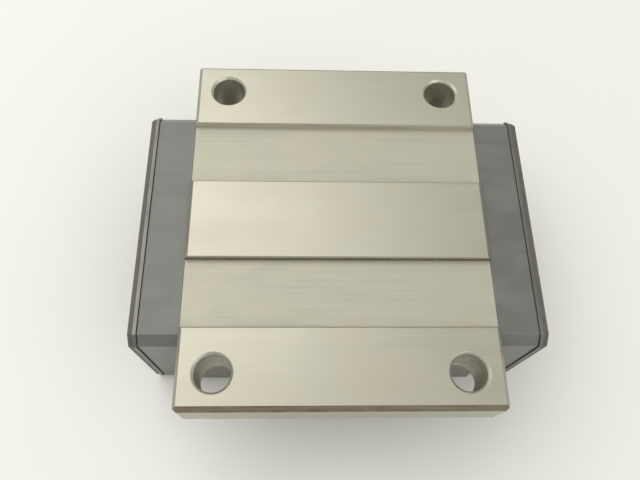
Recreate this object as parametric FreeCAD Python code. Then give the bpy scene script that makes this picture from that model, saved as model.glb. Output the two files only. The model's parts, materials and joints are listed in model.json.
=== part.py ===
import FreeCAD, Part
import math
import os

from FreeCAD import Vector

# Flanged linear guide carriage of size 35, with four recirculating ball circuits.
# X runs along the rail, Y across it and Z up. The origin is under the middle of the carriage,
# level with the undersides of the end caps. "Rear" is +Y, "front" is -Y, "right" is +X.
# All sizes are in millimetres.

X_AXIS = Vector(1, 0, 0)
Y_AXIS = Vector(0, 1, 0)
Z_AXIS = Vector(0, 0, 1)
CUT_PAST = 2.0              # how far a cutting tool runs past the face it cuts

# Steel block
BLOCK_LENGTH = 80.0
BLOCK_WIDTH = 100.0
BLOCK_TOP = 40.5
BLOCK_BOTTOM = 2.6
BODY_WIDTH = 70.0           # below the flanges
FLANGE_THICKNESS = 13.0
FLANGE_ROOT_RADIUS = 2.0
FLANGE_EDGE_CHAMFER = 1.3   # long upper edges of the flanges
FLANGE_LOWER_CHAMFER = 0.8
BODY_FOOT_CHAMFER = 1.2
END_EDGE_CHAMFER = 0.9      # upper edges at the two ends
LAND_INNER_HALF = 29.6      # the outer ground lands start this far from the middle
CENTRE_STRIP_HALF = 11.3    # the centre ground strip ends this far from the middle
RECESS_DEPTH = 1.9          # the unground strips between the lands
HOLE_SPACING_X = 62.0
HOLE_SPACING_Y = 82.0
HOLE_DIAMETER = 9.0
HOLE_CHAMFER = 0.65

# Nominal rail, which the openings follow (the rail itself is not part of the carriage)
RAIL_TOP = 21.5
RAIL_BOTTOM = -7.5
RAIL_HALF_WIDTH = 17.0
RAIL_FOOT_TOP = -1.2        # the foot is full width below this level
RAIL_NECK_BOTTOM = 2.0      # the neck starts to flare into the foot here

# Ball rows
BALL_DIAMETER = 6.35
BALL_RADIUS = BALL_DIAMETER / 2
GROOVE_RADIUS = 0.52 * BALL_DIAMETER
ROW_HALF_SPACING = 16.6
UPPER_ROW_Z = 19.8
LOWER_ROW_Z = 9.0
UPPER_TURN_LEAN = math.radians(42.0)    # the circuits lean outward by these angles
LOWER_TURN_LEAN = math.radians(-8.0)
TURN_RADIUS = 6.5
RETURN_BORE_RADIUS = 3.5
TURN_CHANNEL_RADIUS = 3.35
BALLS_IN_ROW = 12
BALLS_IN_TURN = 3
BALLS_IN_CIRCUIT = 2 * (BALLS_IN_ROW + BALLS_IN_TURN)
CIRCUIT_LENGTH = 2 * BLOCK_LENGTH + 2 * math.pi * TURN_RADIUS
BALL_PITCH = CIRCUIT_LENGTH / BALLS_IN_CIRCUIT

# Space inside the block
CEILING_Z = 23.4
CEILING_HALF = 15.2
LEG_INNER_HALF = 18.0
RACE_RELIEF_HALF = ROW_HALF_SPACING + GROOVE_RADIUS

# Ball retainers
RETAINER_BALL_RADIUS = 3.4  # the retainers stand this far from the ball centres
RETAINER_GAP = 0.05
TOP_RETAINER_HALF = 15.0
TOP_RETAINER_BOTTOM = 21.9
SIDE_RETAINER_INNER = 17.5
SIDE_RETAINER_HEIGHT = (9.9, 18.9)
LOWER_RETAINER_INNER = 14.3
LOWER_RETAINER_HEIGHT = (2.9, 6.6)
TONGUE_REACH = 3.0          # the retainers' tongues reach this far into the end caps
TOP_TONGUE = ((-9.0, 9.0), (22.3, 23.3))
SIDE_TONGUE = ((17.9, 19.6), (13.6, 15.2))
LOWER_TONGUE = ((15.0, 17.6), (3.1, 4.6))
SLOT_GAP = 0.1

# End caps
CAP_THICKNESS = 10.4
CAP_HALF_WIDTH = 33.6
CAP_TOP = 38.7
CAP_BEVEL = 2.4
CAP_FOOT_CHAMFER = 1.0
CAP_RAIL_GAP = 0.6
CAP_OUTER_CHAMFER = 0.15
POCKET_HALF_WIDTH = 3.9
GUIDE_GAP = 0.05
GREASE_GROOVE_WIDTH = 1.5
GREASE_GROOVE_DEPTH = 0.8
GREASE_RISER_HALF = 22.0    # the grooves between upper and lower turns are this far out
GREASE_ARM_REACH = 18.8
GREASE_RISER_HEIGHT = (11.8, 20.8)

# End seals
SEAL_FOOT_Z = 1.0           # the seals end this far above the feet of the end caps
SEAL_PLATE_THICKNESS = 1.0
SEAL_PLATE_PROUD = 0.4      # the steel plate stands this far outside the end cap's outline
SEAL_PLATE_RAIL_GAP = 1.2
SEAL_LIP_THICKNESS = 1.2
SEAL_LIP_RAIL_GAP = 0.25
SEAL_LIP_RIM = 1.0          # the lip narrows to a thin rim this wide round the rail
SEAL_LIP_RIM_THICKNESS = 0.6

# Side seals
SIDE_SEAL_LENGTH = 79.6
SIDE_SEAL_THICKNESS = 1.0
SIDE_SEAL_STRIP = (17.2, 26.0)
SIDE_SEAL_LIP_INNER = 14.5
SIDE_SEAL_LIP_EDGE = 0.4
SIDE_SEAL_SCREW_HALF = 22.0
SIDE_SEAL_SCREW_X = (-30.0, 0.0, 30.0)
SIDE_SEAL_SCREW_RADIUS = 1.25
SIDE_SEAL_SCREW_HEAD_RADIUS = 2.3
SIDE_SEAL_SCREW_LENGTH = 5.5
SIDE_SEAL_SLOT = (0.5, 0.45)

# End cap screws and grease port plugs
CAP_SCREW_PLACES = ((12.5, 32.0), (27.0, 17.0))
CAP_SCREW_RADIUS = 2.0
CAP_SCREW_REACH = 9.0       # length of thread in the block
CAP_SCREW_HEAD_RADIUS = 3.5
CAP_SCREW_HEAD_HEIGHT = 1.1
CAP_SCREW_SOCKET = 2.5
CAP_SCREW_SOCKET_DEPTH = 0.8
CAP_HOLE_RADIUS = 2.25
HEAD_HOLE_RADIUS = 4.0
TAPPED_HOLE_GAP = 0.05
TAPPED_HOLE_EXTRA = 3.0
PORT_Z = 28.0
PORT_RADIUS = 3.0
PORT_DEPTH = 7.3
PORT_PASSAGE_RADIUS = 1.25
PORT_SEAL_HOLE_RADIUS = 3.6
PLUG_RADIUS = 2.95
PLUG_LENGTH = 6.0
PLUG_SETBACK = 0.4
PLUG_SOCKET = 3.0
PLUG_SOCKET_DEPTH = 3.0

BLOCK_END = BLOCK_LENGTH / 2
CAP_END = BLOCK_END + CAP_THICKNESS
PLATE_END = CAP_END + SEAL_PLATE_THICKNESS
CARRIAGE_END = PLATE_END + SEAL_LIP_THICKNESS
FLANGE_UNDERSIDE = BLOCK_TOP - FLANGE_THICKNESS
SIDES = {"front": -1, "rear": 1}
ENDS = {"left": -1, "right": 1}


def box(x_span, y_span, z_span):
    """A box between two values on each axis."""
    corner = Vector(min(x_span), min(y_span), min(z_span))
    size = [max(span) - min(span) for span in (x_span, y_span, z_span)]
    return Part.makeBox(*size, corner)


def cylinder_along_x(radius, x_span, y, z):
    start = Vector(min(x_span), y, z)
    return Part.makeCylinder(radius, max(x_span) - min(x_span), start, X_AXIS)


def cylinder_along_z(radius, x, y, z_span):
    start = Vector(x, y, min(z_span))
    return Part.makeCylinder(radius, max(z_span) - min(z_span), start, Z_AXIS)


def cone_along_z(radius_low, radius_high, x, y, z_span):
    start = Vector(x, y, min(z_span))
    return Part.makeCone(radius_low, radius_high, max(z_span) - min(z_span), start, Z_AXIS)


def hexagon_prism_along_x(across_flats, x_span, y, z):
    """A hexagon socket, as a solid to cut with."""
    corner_radius = across_flats / math.sqrt(3)
    corners = []
    for i in range(6):
        angle = math.radians(60 * i)
        corners.append((y + corner_radius * math.cos(angle), z + corner_radius * math.sin(angle)))
    return prism_along_x(corners, x_span)


def prism_along_x(outline, x_span):
    """A prism whose section is a list of (y, z) points."""
    points = [Vector(min(x_span), y, z) for y, z in outline]
    wire = Part.makePolygon(points + points[:1])
    return Part.Face(wire).extrude(X_AXIS * (max(x_span) - min(x_span)))


def prism_along_y(outline, y_span):
    """A prism whose section is a list of (x, z) points."""
    points = [Vector(x, min(y_span), z) for x, z in outline]
    wire = Part.makePolygon(points + points[:1])
    return Part.Face(wire).extrude(Y_AXIS * (max(y_span) - min(y_span)))


def prism_along_z(outline, z_span):
    """A prism whose section is a list of (x, y) points."""
    points = [Vector(x, y, min(z_span)) for x, y in outline]
    wire = Part.makePolygon(points + points[:1])
    return Part.Face(wire).extrude(Z_AXIS * (max(z_span) - min(z_span)))


def at_end(shape, end):
    """A shape made for the right end, or its mirror image for the left end."""
    return shape if end > 0 else shape.mirror(Vector(0, 0, 0), X_AXIS)


def on_side(shape, side):
    """A shape made for the rear side, or its mirror image for the front side."""
    return shape if side > 0 else shape.mirror(Vector(0, 0, 0), Y_AXIS)


def both_sides(shape):
    return [shape, on_side(shape, -1)]


def mirrored_outline(half):
    """Close a half outline of (y, z) points, from the middle outward, with its mirror image."""
    return half + [(-y, z) for y, z in reversed(half)]


# Ball circuits

def make_circuit(side, row_z, lean):
    """Where one circuit's loaded row, turn axis and return row lie, seen along the rail."""
    outward = Vector(0, side * math.cos(lean), math.sin(lean))
    load = Vector(0, side * ROW_HALF_SPACING, row_z)
    return {
        "load": load,
        "turn": load + outward * TURN_RADIUS,
        "back": load + outward * (2 * TURN_RADIUS),
        "outward": outward,
        "normal": X_AXIS.cross(outward),
    }


CIRCUITS = {}
for side_name, side_sign in SIDES.items():
    CIRCUITS[side_name + "_upper"] = make_circuit(side_sign, UPPER_ROW_Z, UPPER_TURN_LEAN)
    CIRCUITS[side_name + "_lower"] = make_circuit(side_sign, LOWER_ROW_Z, LOWER_TURN_LEAN)


def row_space(row, radius, reach):
    """A round bore along a straight ball row."""
    return cylinder_along_x(radius, (-reach, reach), row.y, row.z)


def turn_space(circuit):
    """The ring that the balls turn through, about the end of the block."""
    centre = circuit["turn"] + X_AXIS * BLOCK_END
    return Part.makeTorus(TURN_RADIUS, TURN_CHANNEL_RADIUS, centre, circuit["normal"])


def half_round(circuit, radius, half_width):
    """A half cylinder about the turn axis, on the end cap's side of the block's end face."""
    start = circuit["turn"] + X_AXIS * BLOCK_END - circuit["normal"] * half_width
    whole = Part.makeCylinder(radius, 2 * half_width, start, circuit["normal"])
    cap_side = box((BLOCK_END, CAP_END), (-BLOCK_WIDTH, BLOCK_WIDTH), (-CUT_PAST, BLOCK_TOP))
    return whole.common(cap_side)


def straight_row_balls(row):
    """The balls of a loaded or return row, as separate solids."""
    balls = []
    for i in range(BALLS_IN_ROW):
        x = (i - (BALLS_IN_ROW - 1) / 2) * BALL_PITCH
        balls.append(Part.makeSphere(BALL_RADIUS, row + X_AXIS * x))
    return Part.makeCompound(balls)


def turn_balls(circuit, end):
    """The balls on their way round one end of a circuit, as separate solids."""
    balls = []
    for i in range(BALLS_IN_TURN):
        angle = (i - (BALLS_IN_TURN - 1) / 2) * BALL_PITCH / TURN_RADIUS
        along = X_AXIS * (end * (BLOCK_END + TURN_RADIUS * math.cos(angle)))
        across = circuit["outward"] * (TURN_RADIUS * math.sin(angle))
        balls.append(Part.makeSphere(BALL_RADIUS, circuit["turn"] + along + across))
    return Part.makeCompound(balls)


# Rail opening

def rail_section(gap):
    """The rail's section as a face across X at x = 0, standing off the nominal rail by gap."""
    middle_z = (UPPER_ROW_Z + LOWER_ROW_Z) / 2
    neck_half = ROW_HALF_SPACING - math.sqrt(GROOVE_RADIUS**2 - (RAIL_TOP - UPPER_ROW_Z)**2)
    flank_offset = RAIL_HALF_WIDTH - ROW_HALF_SPACING
    flank_z = UPPER_ROW_Z - math.sqrt(GROOVE_RADIUS**2 - flank_offset**2)
    deepest = GROOVE_RADIUS / math.sqrt(2)
    groove_mid = (ROW_HALF_SPACING - deepest, UPPER_ROW_Z - deepest)
    top = (neck_half, RAIL_TOP)
    flank = (RAIL_HALF_WIDTH, flank_z)

    def flipped(point):
        return (point[0], 2 * middle_z - point[1])

    def edges(sign):
        def place(point):
            return Vector(0, sign * point[0], point[1])

        def arc(start, middle, finish):
            return Part.Arc(place(start), place(middle), place(finish)).toShape()

        def line(start, finish):
            return Part.makeLine(place(start), place(finish))

        return [
            line((0, RAIL_TOP), top),
            arc(top, groove_mid, flank),
            line(flank, flipped(flank)),
            arc(flipped(flank), flipped(groove_mid), flipped(top)),
            line(flipped(top), (neck_half, RAIL_NECK_BOTTOM)),
            line((neck_half, RAIL_NECK_BOTTOM), (RAIL_HALF_WIDTH, RAIL_FOOT_TOP)),
            line((RAIL_HALF_WIDTH, RAIL_FOOT_TOP), (RAIL_HALF_WIDTH, RAIL_BOTTOM)),
            line((RAIL_HALF_WIDTH, RAIL_BOTTOM), (0, RAIL_BOTTOM)),
        ]

    wire = Part.Wire(Part.__sortEdges__(edges(1) + edges(-1)))
    return Part.Face(wire).makeOffset2D(gap)


def rail_space(gap, x_span):
    """The space that the rail passes through, to cut out of a piece."""
    section = rail_section(gap)
    section.translate(X_AXIS * min(x_span))
    return section.extrude(X_AXIS * (max(x_span) - min(x_span)))


# Carriage block

def block_outline():
    """The block's outer section, from the middle of the top to the middle of the bottom."""
    half_width = BLOCK_WIDTH / 2
    recess_z = BLOCK_TOP - RECESS_DEPTH
    body_half = BODY_WIDTH / 2
    return mirrored_outline([
        (CENTRE_STRIP_HALF, BLOCK_TOP),
        (CENTRE_STRIP_HALF, recess_z),
        (LAND_INNER_HALF, recess_z),
        (LAND_INNER_HALF, BLOCK_TOP),
        (half_width - FLANGE_EDGE_CHAMFER, BLOCK_TOP),
        (half_width, BLOCK_TOP - FLANGE_EDGE_CHAMFER),
        (half_width, FLANGE_UNDERSIDE + FLANGE_LOWER_CHAMFER),
        (half_width - FLANGE_LOWER_CHAMFER, FLANGE_UNDERSIDE),
        (body_half, FLANGE_UNDERSIDE),
        (body_half, BLOCK_BOTTOM + BODY_FOOT_CHAMFER),
        (body_half - BODY_FOOT_CHAMFER, BLOCK_BOTTOM),
    ])


def flange_root():
    """The rounded corner under the rear flange, where it joins the body."""
    radius = FLANGE_ROOT_RADIUS
    body_half = BODY_WIDTH / 2
    length = (-BLOCK_END, BLOCK_END)
    corner = box(length, (body_half, body_half + radius), (FLANGE_UNDERSIDE - radius, FLANGE_UNDERSIDE))
    return corner.cut(cylinder_along_x(radius, length, body_half + radius, FLANGE_UNDERSIDE - radius))


def end_edge_chamfers():
    """Wedges that bevel the top edge and the flange corners at the right end."""
    size = END_EDGE_CHAMFER
    half_width = BLOCK_WIDTH / 2

    def wedge(edge):
        return [(BLOCK_END - size, edge), (BLOCK_END + size, edge), (BLOCK_END + size, edge - 2 * size)]

    top = prism_along_y(wedge(BLOCK_TOP), (-half_width, half_width))
    flange_z = (FLANGE_UNDERSIDE - CUT_PAST, BLOCK_TOP + CUT_PAST)
    return [top] + both_sides(prism_along_z(wedge(half_width), flange_z))


def inner_space():
    """The space inside the block for the rail, the loaded balls and their retainers."""
    reach = (-BLOCK_END - CUT_PAST, BLOCK_END + CUT_PAST)
    pieces = [
        box(reach, (-CEILING_HALF, CEILING_HALF), (BLOCK_BOTTOM - CUT_PAST, CEILING_Z)),
        box(reach, (-LEG_INNER_HALF, LEG_INNER_HALF), (BLOCK_BOTTOM - CUT_PAST, UPPER_ROW_Z)),
        box(reach, (-RACE_RELIEF_HALF, RACE_RELIEF_HALF), (LOWER_ROW_Z, UPPER_ROW_Z)),
    ]
    for circuit in CIRCUITS.values():
        pieces.append(row_space(circuit["load"], GROOVE_RADIUS, BLOCK_END + CUT_PAST))
    return pieces


def mounting_hole(x, y):
    """A plain hole down through a flange, bevelled at the top."""
    shaft = cylinder_along_z(HOLE_DIAMETER / 2, x, y, (FLANGE_UNDERSIDE - CUT_PAST, BLOCK_TOP + CUT_PAST))
    rim = HOLE_DIAMETER / 2 + HOLE_CHAMFER
    bevel = cone_along_z(HOLE_DIAMETER / 2, rim, x, y, (BLOCK_TOP - HOLE_CHAMFER, BLOCK_TOP))
    return [shaft, bevel]


def cap_screw_places():
    """The (y, z) places of the four screws in one end."""
    return [(side * y, z) for y, z in CAP_SCREW_PLACES for side in SIDES.values()]


def tapped_holes():
    """Threaded holes for the end cap screws and the side seal screws."""
    holes = []
    depth = CAP_SCREW_REACH + TAPPED_HOLE_EXTRA
    for y, z in cap_screw_places():
        for end in ENDS.values():
            span = (end * (BLOCK_END - depth), end * (BLOCK_END + CUT_PAST))
            holes.append(cylinder_along_x(CAP_SCREW_RADIUS + TAPPED_HOLE_GAP, span, y, z))
    z_span = (BLOCK_BOTTOM - CUT_PAST, BLOCK_BOTTOM + SIDE_SEAL_SCREW_LENGTH + TAPPED_HOLE_GAP)
    radius = SIDE_SEAL_SCREW_RADIUS + TAPPED_HOLE_GAP
    for x in SIDE_SEAL_SCREW_X:
        for side in SIDES.values():
            holes.append(cylinder_along_z(radius, x, side * SIDE_SEAL_SCREW_HALF, z_span))
    return holes


def carriage_block():
    block = prism_along_x(block_outline(), (-BLOCK_END, BLOCK_END))
    block = block.fuse(both_sides(flange_root())).removeSplitter()
    cutters = inner_space() + tapped_holes()
    for circuit in CIRCUITS.values():
        cutters.append(row_space(circuit["back"], RETURN_BORE_RADIUS, BLOCK_END + CUT_PAST))
    for end in ENDS.values():
        cutters += [at_end(wedge, end) for wedge in end_edge_chamfers()]
        for side in SIDES.values():
            cutters += mounting_hole(end * HOLE_SPACING_X / 2, side * HOLE_SPACING_Y / 2)
    return block.cut(cutters)


# Retainers

def tongue_span():
    reach = BLOCK_END + TONGUE_REACH
    return (-reach, reach)


def clear_of_balls(shape):
    return shape.cut([row_space(c["load"], RETAINER_BALL_RADIUS, CARRIAGE_END) for c in CIRCUITS.values()])


def retainer(y_span, z_span, tongue):
    """A long strip beside the ball rows, with a tongue at each end."""
    length = BLOCK_END - RETAINER_GAP
    strip = clear_of_balls(box((-length, length), y_span, z_span))
    return strip.fuse(box(tongue_span(), *tongue)).removeSplitter()


def top_retainer():
    half = TOP_RETAINER_HALF
    return retainer((-half, half), (TOP_RETAINER_BOTTOM, CEILING_Z - RETAINER_GAP), TOP_TONGUE)


def side_retainer():
    y_span = (SIDE_RETAINER_INNER, RACE_RELIEF_HALF - RETAINER_GAP)
    return retainer(y_span, SIDE_RETAINER_HEIGHT, SIDE_TONGUE)


def lower_retainer():
    y_span = (LOWER_RETAINER_INNER, LEG_INNER_HALF - RETAINER_GAP)
    return retainer(y_span, LOWER_RETAINER_HEIGHT, LOWER_TONGUE)


# End caps

def cap_outline(grow, foot=0.0):
    """The end cap's outline, grown outward by a distance, with its foot at a given level."""
    half = CAP_HALF_WIDTH + grow
    top = CAP_TOP + grow
    bevel = CAP_BEVEL + grow * (2 - math.sqrt(2))
    return mirrored_outline([
        (half - bevel, top),
        (half, top - bevel),
        (half, foot + CAP_FOOT_CHAMFER),
        (half - CAP_FOOT_CHAMFER, foot),
    ])


def tongue_slots():
    """Slots in the right end cap's inner face for the retainers' tongues."""
    slots = []
    for (y0, y1), (z0, z1) in (TOP_TONGUE, SIDE_TONGUE, LOWER_TONGUE):
        x_span = (BLOCK_END - CUT_PAST, BLOCK_END + TONGUE_REACH + SLOT_GAP)
        slots.append(box(x_span, (y0 - SLOT_GAP, y1 + SLOT_GAP), (z0 - SLOT_GAP, z1 + SLOT_GAP)))
    return slots[:1] + [copy for slot in slots[1:] for copy in both_sides(slot)]


def grease_grooves():
    """Shallow grooves in the inner face, from the port to the upper turns and on to the lower turns."""
    half_width = GREASE_GROOVE_WIDTH / 2
    x_span = (BLOCK_END - CUT_PAST, BLOCK_END + GREASE_GROOVE_DEPTH)
    arm = box(x_span, (-GREASE_ARM_REACH, GREASE_ARM_REACH), (PORT_Z - half_width, PORT_Z + half_width))
    riser_y = (GREASE_RISER_HALF - half_width, GREASE_RISER_HALF + half_width)
    return [arm] + both_sides(box(x_span, riser_y, GREASE_RISER_HEIGHT))


def grease_port():
    """The threaded port in the outer face, with a narrow passage on to the inner face."""
    port = cylinder_along_x(PORT_RADIUS, (CAP_END - PORT_DEPTH, CAP_END + CUT_PAST), 0, PORT_Z)
    passage = cylinder_along_x(PORT_PASSAGE_RADIUS, (BLOCK_END - CUT_PAST, CAP_END), 0, PORT_Z)
    return [port, passage]


def cap_outer_chamfer():
    """The bevel round the cap's outer face is the cap's outline drawn in as it rises."""
    inner = cap_outline(-CAP_OUTER_CHAMFER)
    outer = cap_outline(0)
    sections = []
    for outline, x in ((outer, CAP_END - CAP_OUTER_CHAMFER), (inner, CAP_END)):
        points = [Vector(x, y, z) for y, z in outline]
        sections.append(Part.makePolygon(points + points[:1]))
    return Part.makeLoft(sections, True, True)


def end_cap():
    body = prism_along_x(cap_outline(0), (BLOCK_END, CAP_END - CAP_OUTER_CHAMFER))
    body = body.fuse(cap_outer_chamfer()).removeSplitter()
    past_both = (BLOCK_END - CUT_PAST, CAP_END + CUT_PAST)
    cutters = [rail_space(CAP_RAIL_GAP, past_both)] + tongue_slots() + grease_grooves() + grease_port()
    for y, z in cap_screw_places():
        cutters.append(cylinder_along_x(CAP_HOLE_RADIUS, past_both, y, z))
    for circuit in CIRCUITS.values():
        cutters.append(half_round(circuit, TURN_RADIUS, POCKET_HALF_WIDTH))
        cutters.append(turn_space(circuit))
    return body.cut(cutters)


def return_guide(circuit):
    """The half-round piece that fills the inside of a turn, grooved for the balls."""
    blank = half_round(circuit, TURN_RADIUS - GUIDE_GAP, POCKET_HALF_WIDTH - GUIDE_GAP)
    return blank.cut(turn_space(circuit))


# End seals

def seal_holes(x_span, screw_radius):
    """Holes through an end seal layer for the four screws and the grease port."""
    holes = [cylinder_along_x(screw_radius, x_span, y, z) for y, z in cap_screw_places()]
    holes.append(cylinder_along_x(PORT_SEAL_HOLE_RADIUS, x_span, 0, PORT_Z))
    return holes


def end_seal_plate():
    past_both = (CAP_END - CUT_PAST, PLATE_END + CUT_PAST)
    plate = prism_along_x(cap_outline(SEAL_PLATE_PROUD, SEAL_FOOT_Z), (CAP_END, PLATE_END))
    return plate.cut([rail_space(SEAL_PLATE_RAIL_GAP, past_both)] + seal_holes(past_both, CAP_HOLE_RADIUS))


def end_seal_lip():
    """The moulded rubber face, thinner in a rim round the rail."""
    past_both = (PLATE_END - CUT_PAST, CARRIAGE_END + CUT_PAST)
    rim_face = (PLATE_END + SEAL_LIP_RIM_THICKNESS, CARRIAGE_END + CUT_PAST)
    lip = prism_along_x(cap_outline(0, SEAL_FOOT_Z), (PLATE_END, CARRIAGE_END))
    cutters = [
        rail_space(SEAL_LIP_RAIL_GAP, past_both),
        rail_space(SEAL_LIP_RAIL_GAP + SEAL_LIP_RIM, rim_face),
    ]
    return lip.cut(cutters + seal_holes(past_both, HEAD_HOLE_RADIUS))


# Side seals

def side_seal_z():
    return (BLOCK_BOTTOM - SIDE_SEAL_THICKNESS, BLOCK_BOTTOM)


def side_seal_x():
    return (-SIDE_SEAL_LENGTH / 2, SIDE_SEAL_LENGTH / 2)


def side_seal_screw_cone(x, grow):
    """The countersunk head of a side seal screw, or the seat for it when grown."""
    radii = (SIDE_SEAL_SCREW_HEAD_RADIUS + grow, SIDE_SEAL_SCREW_RADIUS + grow)
    return cone_along_z(*radii, x, SIDE_SEAL_SCREW_HALF, side_seal_z())


def side_seal_strip():
    strip = box(side_seal_x(), SIDE_SEAL_STRIP, side_seal_z())
    return strip.cut([side_seal_screw_cone(x, TAPPED_HOLE_GAP) for x in SIDE_SEAL_SCREW_X])


def side_seal_lip():
    """A rubber strip on the inner edge of the steel one, tapering towards the rail."""
    low, high = side_seal_z()
    outline = [
        (SIDE_SEAL_STRIP[0], low),
        (SIDE_SEAL_STRIP[0], high),
        (SIDE_SEAL_LIP_INNER, low + SIDE_SEAL_LIP_EDGE),
        (SIDE_SEAL_LIP_INNER, low),
    ]
    return prism_along_x(outline, side_seal_x())


def side_seal_screws():
    """Three countersunk slotted screws up into the block."""
    low, high = side_seal_z()
    shank_z = (high, high + SIDE_SEAL_SCREW_LENGTH)
    slot_width, slot_depth = SIDE_SEAL_SLOT
    slot_reach = SIDE_SEAL_SCREW_HEAD_RADIUS + CUT_PAST
    slot_y = (SIDE_SEAL_SCREW_HALF - slot_reach, SIDE_SEAL_SCREW_HALF + slot_reach)
    screws = []
    for x in SIDE_SEAL_SCREW_X:
        shank = cylinder_along_z(SIDE_SEAL_SCREW_RADIUS, x, SIDE_SEAL_SCREW_HALF, shank_z)
        slot_x = (x - slot_width / 2, x + slot_width / 2)
        slot = box(slot_x, slot_y, (low - CUT_PAST, low + slot_depth))
        screws.append(side_seal_screw_cone(x, 0).fuse(shank).cut(slot))
    return Part.makeCompound(screws)


# End cap screws and plugs

def cap_screws():
    """Four low-headed socket screws through the seal plate and end cap into the block."""
    head_x = (PLATE_END, PLATE_END + CAP_SCREW_HEAD_HEIGHT)
    socket_x = (head_x[1] - CAP_SCREW_SOCKET_DEPTH, head_x[1] + CUT_PAST)
    screws = []
    for y, z in cap_screw_places():
        shank = cylinder_along_x(CAP_SCREW_RADIUS, (BLOCK_END - CAP_SCREW_REACH, PLATE_END), y, z)
        head = cylinder_along_x(CAP_SCREW_HEAD_RADIUS, head_x, y, z)
        socket = hexagon_prism_along_x(CAP_SCREW_SOCKET, socket_x, y, z)
        screws.append(shank.fuse(head).cut(socket))
    return Part.makeCompound(screws)


def port_plug():
    """A headless screw that closes the grease port."""
    outer = CAP_END - PLUG_SETBACK
    plug = cylinder_along_x(PLUG_RADIUS, (outer - PLUG_LENGTH, outer), 0, PORT_Z)
    socket_x = (outer - PLUG_SOCKET_DEPTH, outer + CUT_PAST)
    return plug.cut(hexagon_prism_along_x(PLUG_SOCKET, socket_x, 0, PORT_Z))


def build_parts():
    """Every sub-part of the carriage, by name."""
    parts = {"carriage_block": carriage_block(), "top_retainer": top_retainer()}
    for name, side in SIDES.items():
        parts["side_retainer_" + name] = on_side(side_retainer(), side)
        parts["lower_retainer_" + name] = on_side(lower_retainer(), side)
        parts["side_seal_strip_" + name] = on_side(side_seal_strip(), side)
        parts["side_seal_lip_" + name] = on_side(side_seal_lip(), side)
        parts["side_seal_screws_" + name] = on_side(side_seal_screws(), side)
    for name, end in ENDS.items():
        parts["end_cap_" + name] = at_end(end_cap(), end)
        parts["end_seal_plate_" + name] = at_end(end_seal_plate(), end)
        parts["end_seal_lip_" + name] = at_end(end_seal_lip(), end)
        parts["cap_screws_" + name] = at_end(cap_screws(), end)
        parts["port_plug_" + name] = at_end(port_plug(), end)
    for circuit_name, circuit in CIRCUITS.items():
        parts["loaded_balls_" + circuit_name] = straight_row_balls(circuit["load"])
        parts["returning_balls_" + circuit_name] = straight_row_balls(circuit["back"])
        for end_name, end in ENDS.items():
            place = circuit_name + "_" + end_name
            parts["return_guide_" + place] = at_end(return_guide(circuit), end)
            parts["turning_balls_" + place] = turn_balls(circuit, end)
    return parts


os.makedirs("parts", exist_ok=True)
for part_name, shape in build_parts().items():
    shape.exportStep("parts/" + part_name + ".step")
print("ball pitch", round(BALL_PITCH, 3), "mm")
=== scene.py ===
import bmesh
import bpy
import json
import math
from mathutils import Matrix, Vector


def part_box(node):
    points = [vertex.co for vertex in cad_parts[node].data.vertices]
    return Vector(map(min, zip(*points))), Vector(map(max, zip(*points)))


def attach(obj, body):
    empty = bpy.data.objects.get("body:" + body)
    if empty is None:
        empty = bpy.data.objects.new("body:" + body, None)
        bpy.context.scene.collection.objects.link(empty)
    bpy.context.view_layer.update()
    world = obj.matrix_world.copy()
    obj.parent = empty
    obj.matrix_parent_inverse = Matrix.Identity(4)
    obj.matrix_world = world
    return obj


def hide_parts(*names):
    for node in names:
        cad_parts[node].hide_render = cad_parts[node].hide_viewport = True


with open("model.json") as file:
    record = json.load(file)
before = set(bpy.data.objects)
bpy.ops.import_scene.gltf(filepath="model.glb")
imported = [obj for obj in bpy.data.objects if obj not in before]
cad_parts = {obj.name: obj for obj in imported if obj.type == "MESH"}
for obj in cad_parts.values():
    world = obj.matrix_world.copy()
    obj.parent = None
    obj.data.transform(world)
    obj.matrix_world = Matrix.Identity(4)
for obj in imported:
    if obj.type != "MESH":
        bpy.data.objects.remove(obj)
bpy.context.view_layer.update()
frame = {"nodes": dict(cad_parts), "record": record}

# Looks of the flanged linear guide carriage, in the row frame: X along the rail, Y across it,
# Z up. Lengths are in metres, except where they are said to be in millimetres. The pieces' places
# come from the CAD nodes' own boxes, apart from the steps between the lands.

MM = 0.001
NODES = frame["nodes"]
MAIN_BODY = "carriage"
ENDS = ("left", "right")
BLOCK_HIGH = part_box("carriage_block")[1]
CAP_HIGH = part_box("end_cap_right")[1]
TOP = BLOCK_HIGH.z


# Shader building

# The Mix node's sockets for colours, by place, because it has others with the same names
MIX_AMOUNT = 0
MIX_COLOURS = (6, 7)
MIX_RESULT = 2


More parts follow.
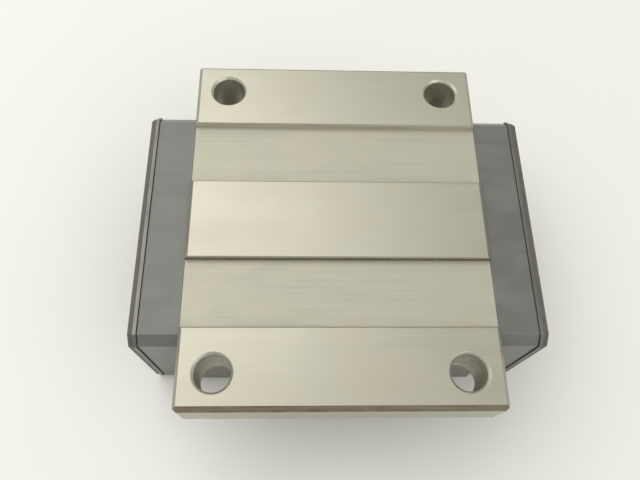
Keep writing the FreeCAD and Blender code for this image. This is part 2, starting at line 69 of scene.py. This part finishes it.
class Shader:
    """A Principled material whose textures are laid out in the row frame.

    Its uniform values are named after the shader's sockets, with underscores for spaces.
    """

    def __init__(self, name, **uniform):
        self.material = bpy.data.materials.new(name)
        self.material.use_nodes = True
        self.tree = self.material.node_tree
        self.surface = self.tree.nodes["Principled BSDF"]
        self.place = self.tree.nodes.new("ShaderNodeTexCoord").outputs["Object"]
        for label, value in uniform.items():
            self.surface.inputs[label.replace("_", " ")].default_value = value

    def add(self, kind, inputs, **settings):
        """A node with the given settings, whose inputs are values or other nodes' outputs."""
        node = self.tree.nodes.new("ShaderNode" + kind)
        for label, value in settings.items():
            setattr(node, label, value)
        for key, value in inputs.items():
            if isinstance(value, bpy.types.NodeSocket):
                self.tree.links.new(value, node.inputs[key])
            else:
                node.inputs[key].default_value = value
        return node

    def stretched(self, scale):
        """Object coordinates in millimetres, divided by the feature's size along each axis."""
        per_metre = [1 / (MM * size) for size in scale]
        return self.add("Mapping", {"Vector": self.place, "Scale": per_metre}).outputs["Vector"]

    def grain(self, size, detail=2.0, roughness=0.5, distortion=0.0):
        """Noise whose features measure size millimetres along X, Y and Z."""
        inputs = {"Vector": self.stretched(size), "Scale": 1.0, "Detail": detail}
        inputs.update({"Roughness": roughness, "Distortion": distortion})
        return self.add("TexNoise", inputs).outputs["Fac"]

    def remap(self, value, low, high, to_low=0.0, to_high=1.0):
        """The value with its range from low to high turned into to_low to to_high, and held there."""
        inputs = {"Value": value, "From Min": low, "From Max": high}
        inputs.update({"To Min": to_low, "To Max": to_high})
        return self.add("MapRange", inputs).outputs["Result"]

    def total(self, first, second):
        """The sum of two nodes' outputs."""
        return self.add("Math", {0: first, 1: second}, operation="ADD").outputs["Value"]

    def blend(self, amount, first, second):
        """A mix of two colours, each a tuple or another node's output."""
        node = self.tree.nodes.new("ShaderNodeMix")
        node.data_type = "RGBA"
        self.tree.links.new(amount, node.inputs[MIX_AMOUNT])
        for socket, colour in zip(MIX_COLOURS, (first, second)):
            if isinstance(colour, bpy.types.NodeSocket):
                self.tree.links.new(colour, node.inputs[socket])
            else:
                node.inputs[socket].default_value = (*colour, 1.0)
        return node.outputs[MIX_RESULT]

    def feed(self, label, value):
        self.tree.links.new(value, self.surface.inputs[label])

    def bump(self, *layers):
        """Stacks bumps, each a (height, depth in millimetres, strength)."""
        normal = None
        for height, depth, strength in layers:
            inputs = {"Height": height, "Distance": depth * MM, "Strength": strength}
            if normal:
                inputs["Normal"] = normal
            normal = self.add("Bump", inputs).outputs["Normal"]
        self.feed("Normal", normal)


# Steel finishes. Each noise lies mostly between 0.3 and 0.7, and remap spreads part of that
# range over a mix of colours or a roughness.

def ground_steel():
    """Surface-ground steel: fine lines along the rail, broad faint bands and a film of oil."""
    shader = Shader("ground_steel", Metallic=0.92)
    lines = shader.grain((26.0, 0.22, 0.22), detail=4.0, roughness=0.65)
    bands = shader.grain((90.0, 2.6, 2.6), detail=2.0)
    clouds = shader.grain((22.0, 13.0, 13.0), detail=3.0, distortion=0.4)
    metal = shader.blend(shader.remap(lines, 0.3, 0.7), (0.43, 0.414, 0.350), (0.515, 0.498, 0.427))
    metal = shader.blend(shader.remap(bands, 0.35, 0.65, 0.0, 0.4), metal, (0.452, 0.436, 0.369))
    oiled = shader.blend(shader.remap(clouds, 0.42, 0.66, 0.0, 0.45), metal, (0.49, 0.466, 0.378))
    shader.feed("Base Color", oiled)
    line_gloss = shader.remap(lines, 0.2, 0.8, 0.34, 0.47)
    oil_gloss = shader.remap(clouds, 0.3, 0.7, -0.03, 0.05)
    shader.feed("Roughness", shader.total(line_gloss, oil_gloss))
    shader.bump((lines, 0.012, 0.35), (bands, 0.02, 0.15))
    return shader.material


def strip_steel():
    """The recessed strips between the lands: duller, oilier and warmer, with long faint streaks."""
    shader = Shader("strip_steel", Metallic=0.4)
    streaks = shader.grain((34.0, 0.7, 0.7), detail=4.0, roughness=0.6)
    speckle = shader.grain((0.9, 0.5, 0.5), detail=3.0)
    oil = shader.grain((17.0, 7.0, 7.0), detail=3.0, distortion=0.8)
    metal = shader.blend(shader.remap(streaks, 0.3, 0.7), (0.43, 0.415, 0.345), (0.485, 0.468, 0.395))
    metal = shader.blend(shader.remap(speckle, 0.55, 0.75, 0.0, 0.35), metal, (0.375, 0.352, 0.282))
    metal = shader.blend(shader.remap(oil, 0.5, 0.72, 0.0, 0.55), metal, (0.45, 0.422, 0.325))
    shader.feed("Base Color", metal)
    shader.feed("Roughness", shader.remap(oil, 0.35, 0.7, 0.58, 0.44))
    shader.bump((streaks, 0.012, 0.25), (speckle, 0.015, 0.3))
    return shader.material


def scale_steel(name, dark, light, seam):
    """Drawn steel left unground, under a dark oxide drawn out along the bar."""
    shader = Shader(name, Metallic=0.6)
    mottle = shader.grain((5.0, 1.3, 1.3), detail=5.0, roughness=0.6)
    pits = shader.grain((0.7, 0.4, 0.4), detail=2.0)
    streaks = shader.grain((45.0, 1.4, 1.4), detail=4.0)
    metal = shader.blend(shader.remap(mottle, 0.3, 0.7), dark, light)
    metal = shader.blend(shader.remap(streaks, 0.42, 0.68, 0.0, 0.6), metal, seam)
    pit_colour = [0.5 * channel for channel in dark]
    metal = shader.blend(shader.remap(pits, 0.6, 0.76, 0.0, 0.6), metal, pit_colour)
    shader.feed("Base Color", metal)
    shader.feed("Roughness", shader.remap(mottle, 0.3, 0.7, 0.56, 0.42))
    shader.bump((mottle, 0.03, 0.3), (pits, 0.03, 0.4))
    return shader.material


def machined_steel():
    """Milled ends and bevels: grey, with fine marks across the cut."""
    shader = Shader("machined_steel", Metallic=0.85)
    marks = shader.grain((0.35, 8.0, 0.35), detail=3.0, roughness=0.6)
    clouds = shader.grain((6.0, 6.0, 6.0), detail=2.0)
    metal = shader.blend(shader.remap(marks, 0.3, 0.7), (0.34, 0.32, 0.275), (0.47, 0.45, 0.39))
    metal = shader.blend(shader.remap(clouds, 0.45, 0.7, 0.0, 0.4), metal, (0.37, 0.335, 0.26))
    shader.feed("Base Color", metal)
    shader.feed("Roughness", shader.remap(clouds, 0.3, 0.7, 0.5, 0.4))
    shader.bump((marks, 0.015, 0.4))
    return shader.material


def step_steel():
    """Walls of the lands where the grinding wheel has just missed them: pale and dull."""
    shader = Shader("step_steel", Metallic=0.4)
    streaks = shader.grain((20.0, 0.5, 0.5), detail=4.0)
    metal = shader.blend(shader.remap(streaks, 0.3, 0.7), (0.46, 0.43, 0.34), (0.62, 0.59, 0.48))
    shader.feed("Base Color", metal)
    shader.feed("Roughness", shader.remap(streaks, 0.3, 0.7, 0.45, 0.58))
    shader.bump((streaks, 0.02, 0.3))
    return shader.material


def drilled_steel():
    """Walls of the drilled holes: rings left by the drill, crossed by streaks along the hole."""
    shader = Shader("drilled_steel", Metallic=0.75)
    rings = shader.grain((30.0, 30.0, 0.3), detail=3.0)
    scores = shader.grain((0.35, 0.35, 9.0), detail=3.0)
    stain = shader.grain((3.0, 3.0, 2.2), detail=3.0)
    metal = shader.blend(shader.remap(scores, 0.3, 0.7), (0.41, 0.385, 0.318), (0.52, 0.495, 0.42))
    metal = shader.blend(shader.remap(rings, 0.4, 0.7, 0.0, 0.35), metal, (0.43, 0.40, 0.32))
    metal = shader.blend(shader.remap(stain, 0.5, 0.72, 0.0, 0.5), metal, (0.27, 0.232, 0.165))
    shader.feed("Base Color", metal)
    shader.feed("Roughness", shader.remap(stain, 0.3, 0.7, 0.38, 0.5))
    shader.bump((rings, 0.012, 0.3), (scores, 0.01, 0.3))
    return shader.material


def turned_steel():
    """Countersinks of the mounting holes, freshly turned and bright."""
    shader = Shader("turned_steel", Metallic=0.9)
    chatter = shader.grain((0.7, 0.7, 0.7), detail=3.0)
    metal = shader.blend(shader.remap(chatter, 0.3, 0.7), (0.50, 0.475, 0.40), (0.62, 0.60, 0.52))
    shader.feed("Base Color", metal)
    shader.feed("Roughness", shader.remap(chatter, 0.3, 0.7, 0.30, 0.42))
    shader.bump((chatter, 0.01, 0.3))
    return shader.material


def race_steel():
    """Hardened and finely ground ball races, the brightest steel of the block."""
    shader = Shader("race_steel", Metallic=1.0)
    lines = shader.grain((30.0, 0.18, 0.18), detail=3.0)
    metal = shader.blend(shader.remap(lines, 0.3, 0.7), (0.56, 0.555, 0.54), (0.68, 0.675, 0.66))
    shader.feed("Base Color", metal)
    shader.feed("Roughness", shader.remap(lines, 0.2, 0.8, 0.2, 0.3))
    shader.bump((lines, 0.005, 0.3))
    return shader.material


def rolled_steel(name, dark, light, streak):
    """Thin rolled strip, for the retainers and the seals' backing."""
    shader = Shader(name, Metallic=0.85)
    streaks = shader.grain(streak, detail=4.0)
    clouds = shader.grain((5.0, 5.0, 5.0), detail=3.0)
    metal = shader.blend(shader.remap(streaks, 0.3, 0.7), dark, light)
    tarnish = [0.85 * channel for channel in dark]
    metal = shader.blend(shader.remap(clouds, 0.5, 0.75, 0.0, 0.5), metal, tarnish)
    shader.feed("Base Color", metal)
    shader.feed("Roughness", shader.remap(clouds, 0.3, 0.7, 0.34, 0.46))
    shader.bump((streaks, 0.01, 0.3))
    return shader.material


def black_oxide():
    """Blackened screws with a trace of bare steel showing through."""
    shader = Shader("black_oxide", Metallic=0.75)
    rub = shader.grain((0.8, 0.8, 0.8), detail=4.0)
    metal = shader.blend(shader.remap(rub, 0.56, 0.76), (0.055, 0.054, 0.055), (0.21, 0.20, 0.19))
    shader.feed("Base Color", metal)
    shader.feed("Roughness", shader.remap(rub, 0.3, 0.7, 0.42, 0.3))
    shader.bump((rub, 0.006, 0.3))
    return shader.material


def ball_steel():
    """Polished bearing balls under a thin grease."""
    shader = Shader("ball_steel", Metallic=1.0, Coat_Weight=0.25, Coat_Roughness=0.12)
    grease = shader.grain((2.4, 2.4, 2.4), detail=3.0, distortion=0.5)
    metal = shader.blend(shader.remap(grease, 0.45, 0.75), (0.72, 0.72, 0.73), (0.62, 0.60, 0.54))
    shader.feed("Base Color", metal)
    shader.feed("Roughness", shader.remap(grease, 0.4, 0.75, 0.07, 0.2))
    shader.bump((grease, 0.004, 0.2))
    return shader.material


# Plastics and rubber

def cap_plastic():
    """Filled black-grey nylon: a fine moulded grain with soft flow clouds."""
    shader = Shader("cap_plastic", Specular_IOR_Level=0.75)
    grain = shader.grain((0.16, 0.16, 0.16), detail=3.0)
    flow = shader.grain((14.0, 6.0, 9.0), detail=3.0, distortion=0.6)
    dust = shader.grain((0.9, 0.9, 0.9), detail=4.0)
    colour = shader.blend(shader.remap(flow, 0.35, 0.65), (0.118, 0.118, 0.110), (0.145, 0.145, 0.135))
    colour = shader.blend(shader.remap(dust, 0.60, 0.80, 0.0, 0.35), colour, (0.22, 0.218, 0.20))
    shader.feed("Base Color", colour)
    shader.feed("Roughness", shader.remap(flow, 0.3, 0.7, 0.31, 0.40))
    shader.bump((grain, 0.012, 0.35), (flow, 0.05, 0.1))
    return shader.material


def guide_plastic():
    """Natural acetal of the ball guides, a little yellowed by grease."""
    shader = Shader("guide_plastic", Subsurface_Weight=0.05, Subsurface_Scale=0.002)
    flow = shader.grain((4.0, 4.0, 4.0), detail=3.0)
    colour = shader.blend(shader.remap(flow, 0.3, 0.7), (0.76, 0.74, 0.67), (0.70, 0.66, 0.54))
    shader.feed("Base Color", colour)
    shader.feed("Roughness", shader.remap(flow, 0.3, 0.7, 0.35, 0.45))
    shader.bump((flow, 0.02, 0.15))
    return shader.material


def seal_rubber():
    """Moulded nitrile rubber, dull, slightly brown, with a dusting of bloom."""
    shader = Shader("seal_rubber", Specular_IOR_Level=0.45)
    grain = shader.grain((0.22, 0.22, 0.22), detail=3.0)
    bloom = shader.grain((9.0, 9.0, 9.0), detail=5.0, roughness=0.6, distortion=0.5)
    colour = shader.blend(shader.remap(bloom, 0.35, 0.7), (0.095, 0.089, 0.079), (0.128, 0.121, 0.109))
    shader.feed("Base Color", colour)
    shader.feed("Roughness", shader.remap(bloom, 0.3, 0.7, 0.5, 0.64))
    shader.bump((grain, 0.02, 0.4))
    return shader.material


# Finishes of the steel block's faces, in the order of its material slots
# The bevel finish is a darker, browner copy of the drawn steel; it also covers the centre strip's
# walls
BEVEL_COLOURS = ((0.14, 0.115, 0.08), (0.25, 0.218, 0.158), (0.26, 0.232, 0.175))
SCALE_COLOURS = ((0.15, 0.142, 0.128), (0.225, 0.215, 0.195), (0.25, 0.24, 0.22))
STEEL = {
    "land": ground_steel(),
    "strip": strip_steel(),
    "bevel": scale_steel("bevel_steel", *BEVEL_COLOURS),
    "scale": scale_steel("drawn_steel", *SCALE_COLOURS),
    "machined": machined_steel(),
    "drilled": drilled_steel(),
    "turned": turned_steel(),
    "step": step_steel(),
    "race": race_steel(),
}
PLASTIC = cap_plastic()
RUBBER = seal_rubber()
SCREW_STEEL = black_oxide()
BALL_STEEL = ball_steel()

# Sizes of the streaks in rolled steel, in millimetres along X, Y and Z
ALONG_RAIL = (18.0, 0.6, 0.6)
ACROSS_RAIL = (1.6, 18.0, 1.6)
BACKING_STEEL = rolled_steel("backing_steel", (0.17, 0.165, 0.152), (0.245, 0.24, 0.222), ALONG_RAIL)
PLATE_STEEL = rolled_steel("plate_steel", (0.165, 0.16, 0.148), (0.205, 0.20, 0.186), ACROSS_RAIL)
RETAINER_STEEL = rolled_steel("retainer_steel", (0.40, 0.39, 0.365), (0.53, 0.52, 0.49), ALONG_RAIL)

# Finishes of the small pieces, by the start of their nodes' names
FINISH_OF = {
    "return_guide": guide_plastic(),
    "top_retainer": RETAINER_STEEL,
    "side_retainer": RETAINER_STEEL,
    "lower_retainer": RETAINER_STEEL,
    "side_seal_strip": BACKING_STEEL,
    "end_seal_plate": PLATE_STEEL,
    "side_seal_lip": RUBBER,
    "cap_screws": SCREW_STEEL,
    "side_seal_screws": SCREW_STEEL,
    "port_plug": SCREW_STEEL,
    "loaded_balls": BALL_STEEL,
    "returning_balls": BALL_STEEL,
    "turning_balls": BALL_STEEL,
}


# Detailed copies of the CAD shapes, with worked edges

WELD = 0.001 * MM
FLAT_ANGLE = math.radians(0.4)
EDGE_ANGLE = math.radians(28)
NO_ANGLE = 0.0              # for an edge that doesn't join two faces
ROUND_PROFILE = 0.5
NEIGHBOURS_MATERIAL = -1    # new faces take the material of the faces beside them


def welded_copy(node):
    """The CAD node's shape with its facets joined into whole faces."""
    shape = bmesh.new()
    shape.from_mesh(NODES[node].data)
    bmesh.ops.remove_doubles(shape, verts=shape.verts, dist=WELD)
    bmesh.ops.dissolve_limit(shape, angle_limit=FLAT_ANGLE, verts=shape.verts, edges=shape.edges)
    return shape


def every_edge(edge):
    return True


def round_edges(shape, width, segments, wanted=every_edge, material=NEIGHBOURS_MATERIAL):
    """Rounds the sharp edges that wanted(edge) picks; the new faces may have their own material."""
    sharp = [edge for edge in shape.edges if edge.calc_face_angle(NO_ANGLE) > EDGE_ANGLE]
    picked = [edge for edge in sharp if wanted(edge)]
    bmesh.ops.bevel(
        shape, geom=picked, offset=width, segments=segments, profile=ROUND_PROFILE,
        affect="EDGES", clamp_overlap=True, loop_slide=True, material=material,
    )


def make_piece(name, shape, materials, node):
    """Turns a bmesh into a piece that rides on the carriage and stands for its CAD node."""
    mesh = bpy.data.meshes.new(name)
    shape.to_mesh(mesh)
    shape.free()
    for material in materials:
        mesh.materials.append(material)
    mesh.polygons.foreach_set("use_smooth", [True] * len(mesh.polygons))
    mesh.set_sharp_from_angle(angle=EDGE_ANGLE)
    piece = bpy.data.objects.new(name, mesh)
    bpy.context.scene.collection.objects.link(piece)
    weighted = piece.modifiers.new("face_weighted_normals", "WEIGHTED_NORMAL")
    weighted.keep_sharp = True
    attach(piece, MAIN_BODY)
    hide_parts(node)


# Carriage block

MOUNTS = frame["record"]["mounts"]
HOLES = next(mount["dims"] for mount in MOUNTS if mount["name"] == "mounting_holes")
HOLE_X = HOLES["spacing_x_mm"] * MM / 2
HOLE_Y = HOLES["spacing_y_mm"] * MM / 2
HOLE_REACH = HOLES["hole_r_mm"] * MM + 1.0 * MM     # takes in the hole's countersink
RACE_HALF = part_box("loaded_balls_rear_upper")[1].y + 0.4 * MM   # just outside the ball races
RACE_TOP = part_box("top_retainer")[1].z + 0.2 * MM               # just above the top retainer
CHANNEL_CEILING = RACE_TOP + 1.0 * MM
LAND_INNER = 29.6 * MM      # the outer lands start this far from the middle
RECESS_Z = TOP - 1.9 * MM   # level of the strips between the lands
STEP_BEVEL = 0.35 * MM      # on the long edges of the lands beside the strips
BLOCK_EDGE = 0.12 * MM      # on the block's other outer edges
NEAR = 0.06 * MM            # a place this close to a level or plane counts as on it
STEEL_ORDER = list(STEEL)

# The least part of a face's normal that points along Z or X
FLAT_SHARE = 0.9            # where the face lies level
END_SHARE = 0.5             # where it belongs to an end of the block
SLOPE_SHARE = 0.3           # where it slopes and faces up, as bevels and countersinks do


def steel_zone(place, normal):
    """Which finish a face of the block has, from where it is and where it faces."""
    from_hole = math.hypot(abs(place.x) - HOLE_X, abs(place.y) - HOLE_Y)
    from_middle = abs(place.y)
    if from_hole < HOLE_REACH and abs(normal.z) < FLAT_SHARE:
        return "turned" if normal.z > SLOPE_SHARE else "drilled"
    if from_middle < RACE_HALF and place.z < RACE_TOP and abs(normal.x) < END_SHARE:
        return "race"
    if normal.z > FLAT_SHARE:
        return "land" if place.z > TOP - NEAR else "strip"
    if abs(normal.x) > END_SHARE:
        return "machined"
    if from_middle > BLOCK_HIGH.y - NEAR:
        return "land"
    # The centre strip's walls take the dark bevel finish, and the outer lands' walls the pale step
    # finish, so the centre walls are drawn darker
    if from_middle < LAND_INNER + NEAR and place.z > RECESS_Z - NEAR:
        return "bevel" if from_middle < LAND_INNER - NEAR else "step"
    return "bevel" if normal.z > SLOPE_SHARE else "scale"


def middle_of(edge):
    """The point halfway along an edge."""
    return (edge.verts[0].co + edge.verts[1].co) / 2


def on_step(edge):
    """Whether an edge is a long upper one of the centre strip, or an inner one of an outer land."""
    middle = middle_of(edge)
    along_rail = abs(edge.verts[0].co.x - edge.verts[1].co.x) > BLOCK_HIGH.x
    return along_rail and middle.z > TOP - NEAR and abs(middle.y) < LAND_INNER + NEAR


def outside_channel(edge):
    """Whether an edge is clear of the channel for the rail and the balls."""
    middle = middle_of(edge)
    return abs(middle.y) > RACE_HALF or middle.z > CHANNEL_CEILING


def build_block():
    shape = welded_copy("carriage_block")
    for face in shape.faces:
        zone = steel_zone(face.calc_center_median(), face.normal)
        face.material_index = STEEL_ORDER.index(zone)
    milled = STEEL_ORDER.index("machined")
    round_edges(shape, STEP_BEVEL, segments=1, wanted=on_step, material=milled)
    round_edges(shape, BLOCK_EDGE, segments=2, wanted=outside_channel)
    make_piece("block_detail", shape, STEEL.values(), "carriage_block")


# End caps

CAP_EDGE = 0.3 * MM
CAP_SKIN = 0.02 * MM                        # a place this close to a side counts as on it
CAP_SHOULDER_Z = CAP_HIGH.z - 3.0 * MM      # the upper corner bevels lie above this
CAP_FOOT_Z = 1.2 * MM                       # the foot chamfers lie below this


def on_cap_side(place):
    at_side = abs(place.y) > CAP_HIGH.y - CAP_SKIN
    return at_side or place.z > CAP_SHOULDER_Z or place.z < CAP_FOOT_Z


def on_cap_outline(edge):
    """Whether both ends of an edge are at the cap's sides, upper corners, top or feet."""
    return all(on_cap_side(vert.co) for vert in edge.verts)


def build_end_cap(node):
    shape = welded_copy(node)
    round_edges(shape, CAP_EDGE, segments=3, wanted=on_cap_outline)
    make_piece(node + "_detail", shape, [PLASTIC], node)


# Rubber faces of the end seals

LIP_EDGE = 0.22 * MM


def build_end_seal(node):
    shape = welded_copy(node)
    round_edges(shape, LIP_EDGE, segments=2)
    make_piece(node + "_detail", shape, [RUBBER], node)


# Screws, plugs, retainers, guides, seal plates, seal strips and side seal lips, with eased edges,
# and the balls, which are the CAD nodes themselves

# Widths of the eased edges in millimetres, by the start of the nodes' names
EASED_EDGES = {
    "cap_screws": 0.18,
    "port_plug": 0.15,
    "side_seal_screws": 0.06,
    "end_seal_plate": 0.10,
    "side_seal_strip": 0.08,
    "side_seal_lip": 0.08,
    "top_retainer": 0.10,
    "side_retainer": 0.08,
    "lower_retainer": 0.08,
    "return_guide": 0.10,
}


def first_match(table, node):
    """The value in a table for the start of a node's name, or None."""
    return next((value for start, value in table.items() if node.startswith(start)), None)


def build_small_parts():
    for name, node in NODES.items():
        finish = first_match(FINISH_OF, name)
        width = first_match(EASED_EDGES, name)
        if width:
            shape = welded_copy(name)
            round_edges(shape, width * MM, segments=2)
            make_piece(name + "_detail", shape, [finish], name)
        elif finish:
            node.data.materials.clear()
            node.data.materials.append(finish)


# Floor, light and camera

FLOOR_SIZE = 6.0
LIGHT_AIM = Vector((0, 0, 0.03))

# Each softbox's place, width and height, power in watts and colour
SOFTBOXES = {
    "key_softbox": ((-0.42, 0.30, 0.85), (1.1, 0.9), 4.8, (1.0, 0.995, 0.94)),
    "fill_softbox": ((0.5, -0.45, 0.6), (0.7, 0.7), 1.3, (1.0, 0.99, 0.94)),
}
SKY_LOW = (0.60, 0.60, 0.565, 1)
SKY_HIGH = (0.69, 0.69, 0.65, 1)
SKY_HIGH_FROM = 0.8         # the sky has its upper colour from this height up, 1 being overhead


def build_floor():
    bpy.ops.mesh.primitive_plane_add(size=FLOOR_SIZE, location=(0, 0, 0))
    floor = bpy.context.object
    floor.name = "floor"
    shader = Shader("floor_paper", Roughness=0.6)
    tone = shader.grain((60.0, 60.0, 60.0), detail=2.0)
    shader.feed("Base Color", shader.blend(tone, (0.83, 0.83, 0.81), (0.86, 0.86, 0.84)))
    floor.data.materials.append(shader.material)


def add_softbox(name, place, size, power, colour):
    light = bpy.data.lights.new(name, "AREA")
    light.shape = "RECTANGLE"
    light.size, light.size_y = size
    light.energy = power
    light.color = colour
    lamp = bpy.data.objects.new(name, light)
    bpy.context.scene.collection.objects.link(lamp)
    lamp.location = place
    lamp.rotation_euler = (LIGHT_AIM - Vector(place)).to_track_quat("-Z", "Y").to_euler()


def build_light():
    world = bpy.data.worlds.new("studio")
    world.use_nodes = True
    bpy.context.scene.world = world
    nodes = world.node_tree.nodes
    links = world.node_tree.links
    direction = nodes.new("ShaderNodeTexCoord").outputs["Generated"]
    height = nodes.new("ShaderNodeSeparateXYZ")
    links.new(direction, height.inputs["Vector"])
    ramp = nodes.new("ShaderNodeValToRGB")
    low, high = ramp.color_ramp.elements
    low.position = 0.0
    low.color = SKY_LOW
    high.position = SKY_HIGH_FROM
    high.color = SKY_HIGH
    links.new(height.outputs["Z"], ramp.inputs["Fac"])
    links.new(ramp.outputs["Color"], nodes["Background"].inputs["Color"])
    for name, settings in SOFTBOXES.items():
        add_softbox(name, *settings)


# The camera looks down on the mounting face, from above the front side of the carriage
CAMERA_LENS = 34.3          # lens and sensor in millimetres, as the camera data takes them
CAMERA_SENSOR = 36.0
CAMERA_CLIP_START = 0.01
CAMERA_DISTANCE = 0.1598
CAMERA_ELEVATION = math.radians(66.29)
CAMERA_YAW = math.radians(-5.26)
CAMERA_ROLL = math.radians(5.11)
CAMERA_AIM_OFFSET = Vector((-0.00494, -0.00636, 0))


def build_camera():
    data = bpy.data.cameras.new("camera")
    data.lens = CAMERA_LENS
    data.sensor_width = CAMERA_SENSOR
    data.clip_start = CAMERA_CLIP_START
    camera = bpy.data.objects.new("camera", data)
    bpy.context.scene.collection.objects.link(camera)
    bpy.context.scene.camera = camera
    tilt = Matrix.Rotation(math.pi / 2 - CAMERA_ELEVATION, 4, "X")
    turn = Matrix.Rotation(CAMERA_YAW, 4, "Z") @ tilt @ Matrix.Rotation(CAMERA_ROLL, 4, "Z")
    aim = Vector((0, 0, TOP)) + CAMERA_AIM_OFFSET
    back = turn.to_3x3() @ Vector((0, 0, 1))
    camera.matrix_world = Matrix.Translation(aim + back * CAMERA_DISTANCE) @ turn


build_camera()
build_floor()
build_light()
build_block()
for end_name in ENDS:
    build_end_cap("end_cap_" + end_name)
    build_end_seal("end_seal_lip_" + end_name)
build_small_parts()
bpy.context.scene.view_settings.view_transform = "Standard"
